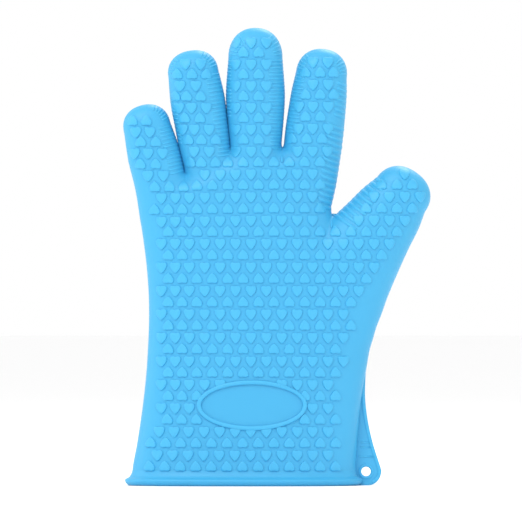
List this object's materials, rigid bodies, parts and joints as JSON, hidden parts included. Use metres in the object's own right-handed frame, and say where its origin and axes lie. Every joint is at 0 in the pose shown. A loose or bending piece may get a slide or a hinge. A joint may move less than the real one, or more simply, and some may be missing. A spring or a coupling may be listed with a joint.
{
  "type": "heat resistant glove",
  "caption": "Five-finger moulded silicone oven and barbecue glove with raised heart-pattern grip, flared cuff bead and hanging tab; wrist, fingers and thumb bend.",
  "frame": {"origin": "centre of the whole glove's width and depth, at the bottom of the cuff's bead", "axes": "+Z from the cuff to the fingertips, +X to the thumb's side, -Y to the face with the oval label frame"},
  "size_m": [0.1814, 0.058, 0.27],
  "materials": {
    "silicone": "satin"
  },
  "bodies": {
    "cuff": {"cuff_sleeve": "silicone", "cuff_bead": "silicone", "hang_tab": "silicone", "label_frame": "silicone", "wrist_crease": "silicone"},
    "palm": {"palm_shell": "silicone", "knuckle_crease": "silicone", "thumb_root_crease": "silicone"},
    "knuckles": {"knuckle_shell": "silicone", "little_middle_crease": "silicone", "ring_middle_crease": "silicone", "middle_middle_crease": "silicone", "index_middle_crease": "silicone"},
    "little_finger_middle": {"little_middle": "silicone", "little_tip_crease": "silicone"},
    "little_finger_tip": {"little_tip": "silicone"},
    "ring_finger_middle": {"ring_middle": "silicone", "ring_tip_crease": "silicone"},
    "ring_finger_tip": {"ring_tip": "silicone"},
    "middle_finger_middle": {"middle_middle": "silicone", "middle_tip_crease": "silicone"},
    "middle_finger_tip": {"middle_tip": "silicone"},
    "index_finger_middle": {"index_middle": "silicone", "index_tip_crease": "silicone"},
    "index_finger_tip": {"index_tip": "silicone"},
    "thumb_lower": {"thumb_base": "silicone", "thumb_tip_crease": "silicone"},
    "thumb_end": {"thumb_tip": "silicone"}
  },
  "joints": [
    {"name": "wrist_bend", "type": "hinge", "parent": "cuff", "child": "palm", "pos_m": [-0.0087, 0, 0.088], "axis": [1, 0, 0], "range_deg": [-35, 35], "stiffness_Nm_per_rad": 1, "deforming": ["wrist_crease"]},
    {"name": "knuckle_bend", "type": "hinge", "parent": "palm", "child": "knuckles", "pos_m": [-0.0225, 0, 0.164], "axis": [0.9925, 0, 0.1219], "range_deg": [-50, 50], "stiffness_Nm_per_rad": 0.4, "deforming": ["knuckle_crease"]},
    {"name": "little_middle_bend", "type": "hinge", "parent": "knuckles", "child": "little_finger_middle", "pos_m": [-0.07105, 0, 0.18982], "axis": [0.9703, 0, 0.2419], "range_deg": [-60, 60], "stiffness_Nm_per_rad": 0.1, "deforming": ["little_middle_crease"]},
    {"name": "little_tip_bend", "type": "hinge", "parent": "little_finger_middle", "child": "little_finger_tip", "pos_m": [-0.07541, 0, 0.20729], "axis": [0.9703, 0, 0.2419], "range_deg": [-40, 40], "stiffness_Nm_per_rad": 0.08, "deforming": ["little_tip_crease"]},
    {"name": "ring_middle_bend", "type": "hinge", "parent": "knuckles", "child": "ring_finger_middle", "pos_m": [-0.0446, 0, 0.2158], "axis": [0.9877, 0, 0.1564], "range_deg": [-60, 60], "stiffness_Nm_per_rad": 0.1, "deforming": ["ring_middle_crease"]},
    {"name": "ring_tip_bend", "type": "hinge", "parent": "ring_finger_middle", "child": "ring_finger_tip", "pos_m": [-0.04812, 0, 0.23803], "axis": [0.9877, 0, 0.1564], "range_deg": [-40, 40], "stiffness_Nm_per_rad": 0.08, "deforming": ["ring_tip_crease"]},
    {"name": "middle_middle_bend", "type": "hinge", "parent": "knuckles", "child": "middle_finger_middle", "pos_m": [-0.0123, 0, 0.2205], "axis": [1, 0, 0], "range_deg": [-60, 60], "stiffness_Nm_per_rad": 0.1, "deforming": ["middle_middle_crease"]},
    {"name": "middle_tip_bend", "type": "hinge", "parent": "middle_finger_middle", "child": "middle_finger_tip", "pos_m": [-0.0123, 0, 0.24575], "axis": [1, 0, 0], "range_deg": [-40, 40], "stiffness_Nm_per_rad": 0.08, "deforming": ["middle_tip_crease"]},
    {"name": "index_middle_bend", "type": "hinge", "parent": "knuckles", "child": "index_finger_middle", "pos_m": [0.02365, 0, 0.21788], "axis": [0.9925, 0, -0.1219], "range_deg": [-60, 60], "stiffness_Nm_per_rad": 0.1, "deforming": ["index_middle_crease"]},
    {"name": "index_tip_bend", "type": "hinge", "parent": "index_finger_middle", "child": "index_finger_tip", "pos_m": [0.02639, 0, 0.24021], "axis": [0.9925, 0, -0.1219], "range_deg": [-40, 40], "stiffness_Nm_per_rad": 0.08, "deforming": ["index_tip_crease"]},
    {"name": "thumb_root_bend", "type": "hinge", "parent": "palm", "child": "thumb_lower", "pos_m": [0.06008, 0, 0.15299], "axis": [0.809, 0, -0.5878], "range_deg": [-45, 45], "stiffness_Nm_per_rad": 0.15, "deforming": ["thumb_root_crease"]},
    {"name": "thumb_tip_bend", "type": "hinge", "parent": "thumb_lower", "child": "thumb_end", "pos_m": [0.07331, 0, 0.1712], "axis": [0.809, 0, -0.5878], "range_deg": [-35, 35], "stiffness_Nm_per_rad": 0.1, "deforming": ["thumb_tip_crease"]}
  ]
}
